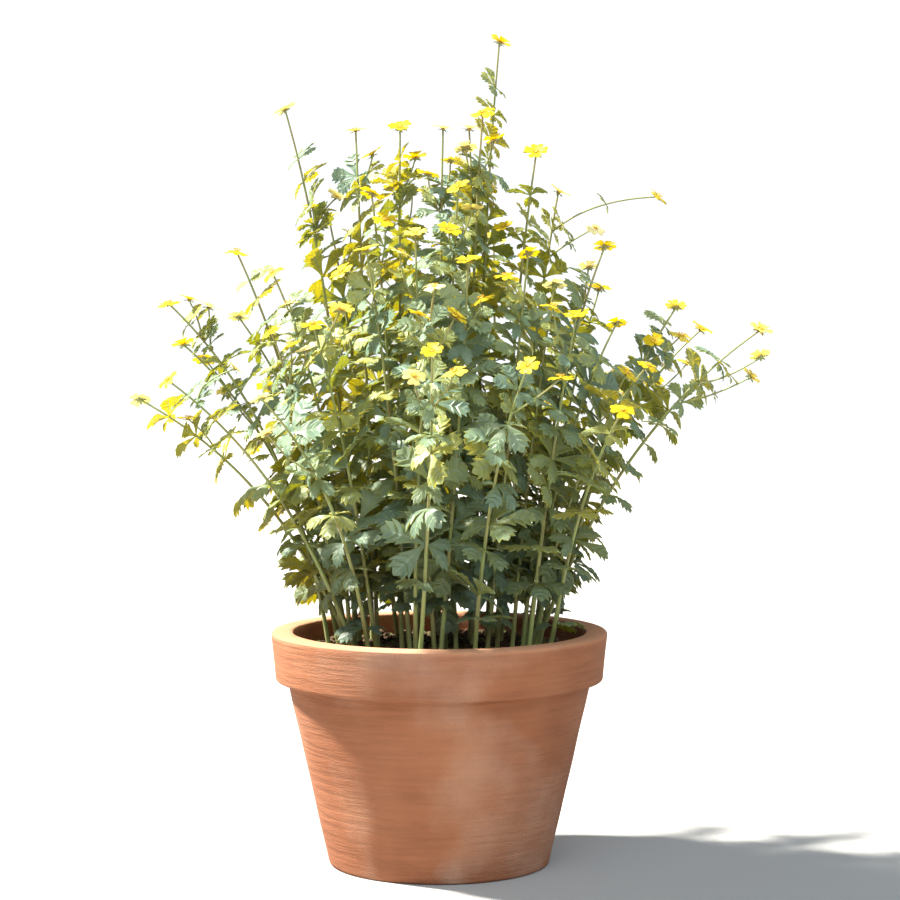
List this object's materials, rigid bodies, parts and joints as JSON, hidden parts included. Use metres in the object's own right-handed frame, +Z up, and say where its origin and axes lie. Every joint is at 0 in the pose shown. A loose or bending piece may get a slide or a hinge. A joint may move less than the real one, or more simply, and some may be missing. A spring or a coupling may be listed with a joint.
{
  "type": "potted tormentil",
  "caption": "Bushy flowering tormentil with slender branching stems, toothed three-part leaves and small four-petalled yellow flowers, growing in a plain clay pot.",
  "frame": {"origin": "centre of the pot's underside, on the surface that the pot stands on", "axes": "+Z up along the pot's axis; +X to the viewer's right and +Y away from the viewer in the picture, so the front is towards -Y"},
  "size_m": [0.3423, 0.2696, 0.4414],
  "materials": {
    "fired_clay": "matte",
    "earth": "matte",
    "leafy_stem": "matte",
    "leaf_blade": "matte",
    "petal": "satin",
    "stamen": "matte"
  },
  "bodies": {
    "root": {"pot": "fired_clay", "soil": "earth", "stem_01": "leafy_stem", "stem_02": "leafy_stem", "stem_03": "leafy_stem", "stem_04": "leafy_stem", "stem_05": "leafy_stem", "stem_06": "leafy_stem", "stem_07": "leafy_stem", "stem_08": "leafy_stem", "stem_09": "leafy_stem", "stem_10": "leafy_stem", "stem_11": "leafy_stem", "stem_12": "leafy_stem", "stem_13": "leafy_stem", "stem_14": "leafy_stem", "stem_15": "leafy_stem", "stem_16": "leafy_stem", "stem_17": "leafy_stem", "stem_18": "leafy_stem", "stem_19": "leafy_stem", "stem_20": "leafy_stem", "stem_21": "leafy_stem", "stem_22": "leafy_stem", "stem_23": "leafy_stem", "stem_24": "leafy_stem", "stem_25": "leafy_stem", "stem_26": "leafy_stem", "stem_27": "leafy_stem", "stem_28": "leafy_stem", "stem_29": "leafy_stem", "stem_30": "leafy_stem", "stem_31": "leafy_stem", "stem_32": "leafy_stem", "stem_33": "leafy_stem", "stem_34": "leafy_stem", "stem_35": "leafy_stem", "stem_36": "leafy_stem", "stem_37": "leafy_stem", "stem_38": "leafy_stem", "stem_39": "leafy_stem", "stem_40": "leafy_stem", "stem_41": "leafy_stem", "stem_42": "leafy_stem", "stem_43": "leafy_stem", "stem_44": "leafy_stem", "stem_45": "leafy_stem", "stem_46": "leafy_stem", "stem_47": "leafy_stem", "stem_48": "leafy_stem", "stem_49": "leafy_stem", "stem_50": "leafy_stem"}
  },
  "joints": []
}
